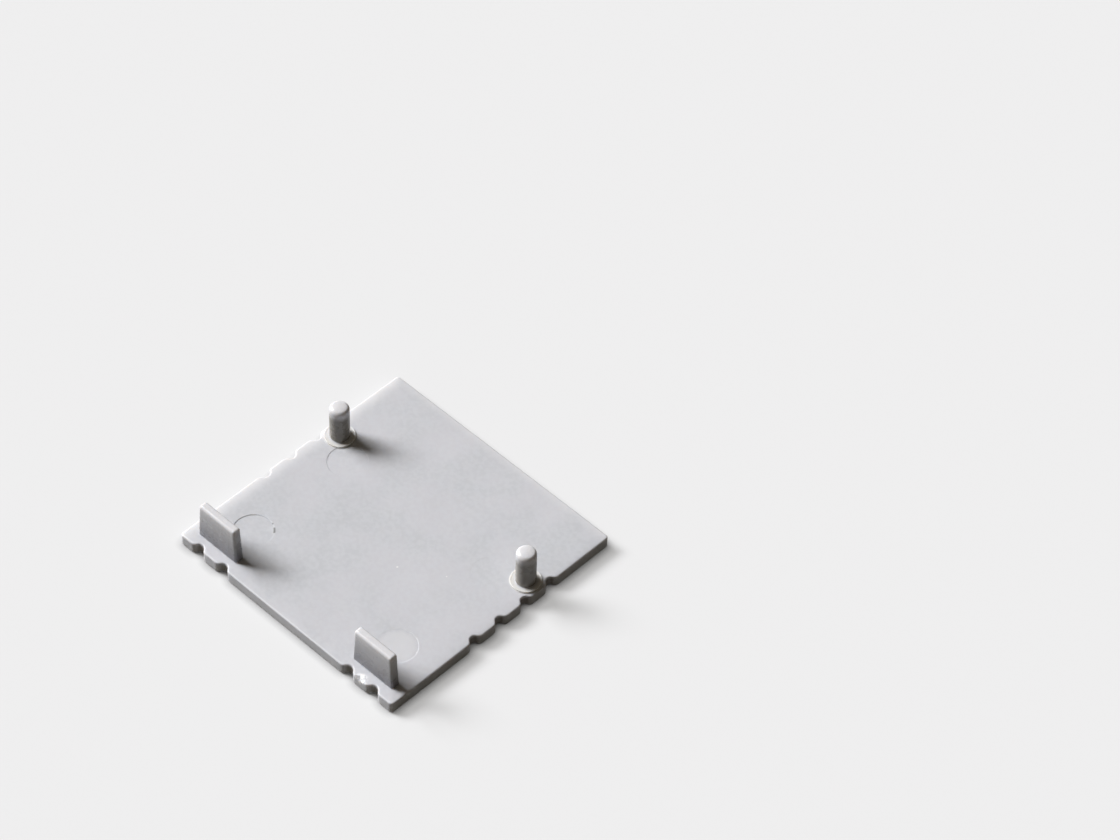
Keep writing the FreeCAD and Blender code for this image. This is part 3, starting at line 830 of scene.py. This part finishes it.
def pale_floor():
    """The floor's material. The camera and reflections see it pale, darkening close to the cap, and
    it throws back only a little warm light."""
    material = bpy.data.materials.new("pale floor")
    material.use_nodes = True
    tree = material.node_tree
    shader = tree.nodes["Principled BSDF"]
    path = add_node(tree, "ShaderNodeLightPath", {})
    seen = path["Is Camera Ray"]
    for ray in ("Is Glossy Ray", "Is Transmission Ray"):
        seen = add_node(tree, "ShaderNodeMath", {0: seen, 1: path[ray]}, operation="MAXIMUM")["Value"]
    sockets = {"Factor": seen, "A": (*FLOOR_BOUNCE, 1), "B": (*FLOOR_SEEN, 1)}
    shade = add_node(tree, "ShaderNodeMix", sockets, data_type="RGBA")["Result"]
    tree.links.new(shade, shader.inputs["Base Color"])
    sockets = {"Distance": FLOOR_SHADE_REACH * MM}
    near = add_node(tree, "ShaderNodeAmbientOcclusion", sockets, samples=2)["AO"]
    sockets = {0: near, 1: FLOOR_SHADE_POWER}
    near = add_node(tree, "ShaderNodeMath", sockets, operation="POWER")["Value"]
    glow = add_node(tree, "ShaderNodeMath", {0: seen, 1: near}, operation="MULTIPLY")["Value"]
    shader.inputs["Emission Color"].default_value = (*FLOOR_GLOW, 1)
    tree.links.new(glow, shader.inputs["Emission Strength"])
    shader.inputs["Roughness"].default_value = 1.0
    shader.inputs["Specular IOR Level"].default_value = 0.0
    return material


def make_floor():
    """A plain pale floor that carries on past the picture's edges."""
    mesh = bpy.data.meshes.new("floor")
    corners = [(x * FLOOR_HALF, y * FLOOR_HALF, 0) for x, y in ((-1, -1), (1, -1), (1, 1), (-1, 1))]
    mesh.from_pydata(corners, [], [(0, 1, 2, 3)])
    floor = add_object("floor", mesh)
    mesh.materials.append(pale_floor())


def towards(azimuth, elevation):
    """The direction at that azimuth and elevation in degrees, the azimuth turning from -Y to +X."""
    turn, rise = math.radians(azimuth), math.radians(elevation)
    return Vector((math.sin(turn) * math.cos(rise), -math.cos(turn) * math.cos(rise), math.sin(rise)))


def light_scene():
    """A soft key from the left in two halves, a faint broad light from above and a dim warm surround."""
    for name, azimuth, elevation, width, strength, colour in LAMPS:
        lamp = bpy.data.lights.new(name, "SUN")
        lamp.energy = strength
        lamp.angle = math.radians(width)
        lamp.color = colour
        thing = bpy.data.objects.new(name, lamp)
        thing.rotation_mode = "QUATERNION"
        thing.rotation_quaternion = towards(azimuth, elevation).to_track_quat("Z", "Y")
        bpy.context.scene.collection.objects.link(thing)
    world = bpy.data.worlds.new("surround")
    world.use_nodes = True
    shade = world.node_tree.nodes["Background"]
    shade.inputs["Color"].default_value = SURROUND_COLOUR
    shade.inputs["Strength"].default_value = SURROUND_STRENGTH
    bpy.context.scene.world = world


def place_camera():
    """The photograph's view: the camera's aim point, distance, direction and roll."""
    back = towards(CAMERA_AZIMUTH, CAMERA_ELEVATION)
    roll = Quaternion((0, 0, 1), math.radians(CAMERA_ROLL))
    camera = bpy.data.objects.new("camera", bpy.data.cameras.new("camera"))
    camera.data.lens = CAMERA_LENS
    camera.data.sensor_width = 36
    camera.data.clip_start, camera.data.clip_end = 0.01, 10
    camera.location = Vector(CAMERA_AIM) + back * CAMERA_DISTANCE
    camera.rotation_mode = "QUATERNION"
    camera.rotation_quaternion = (-back).to_track_quat("-Z", "Y") @ roll
    bpy.context.scene.collection.objects.link(camera)
    bpy.context.scene.camera = camera


def dress_cap():
    """The cap as one moulded piece: plate, pins and tabs united, in its own plastic."""
    sides = (-1, 1)
    added = [pin_mesh(side) for side in sides] + [tab_mesh(side) for side in sides]
    mesh = fuse(plate_mesh(), added)
    mesh.name = "moulded_cap"
    mesh.shade_smooth()
    mesh.set_sharp_from_angle(angle=math.radians(SHARP_ANGLE))
    cap = add_object("moulded_cap", mesh)
    mesh.materials.clear()
    mesh.materials.append(moulded_plastic())
    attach(cap, "root")
    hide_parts("end_cap")


dress_cap()
make_floor()
light_scene()
place_camera()
bpy.context.scene.view_settings.view_transform = "Standard"
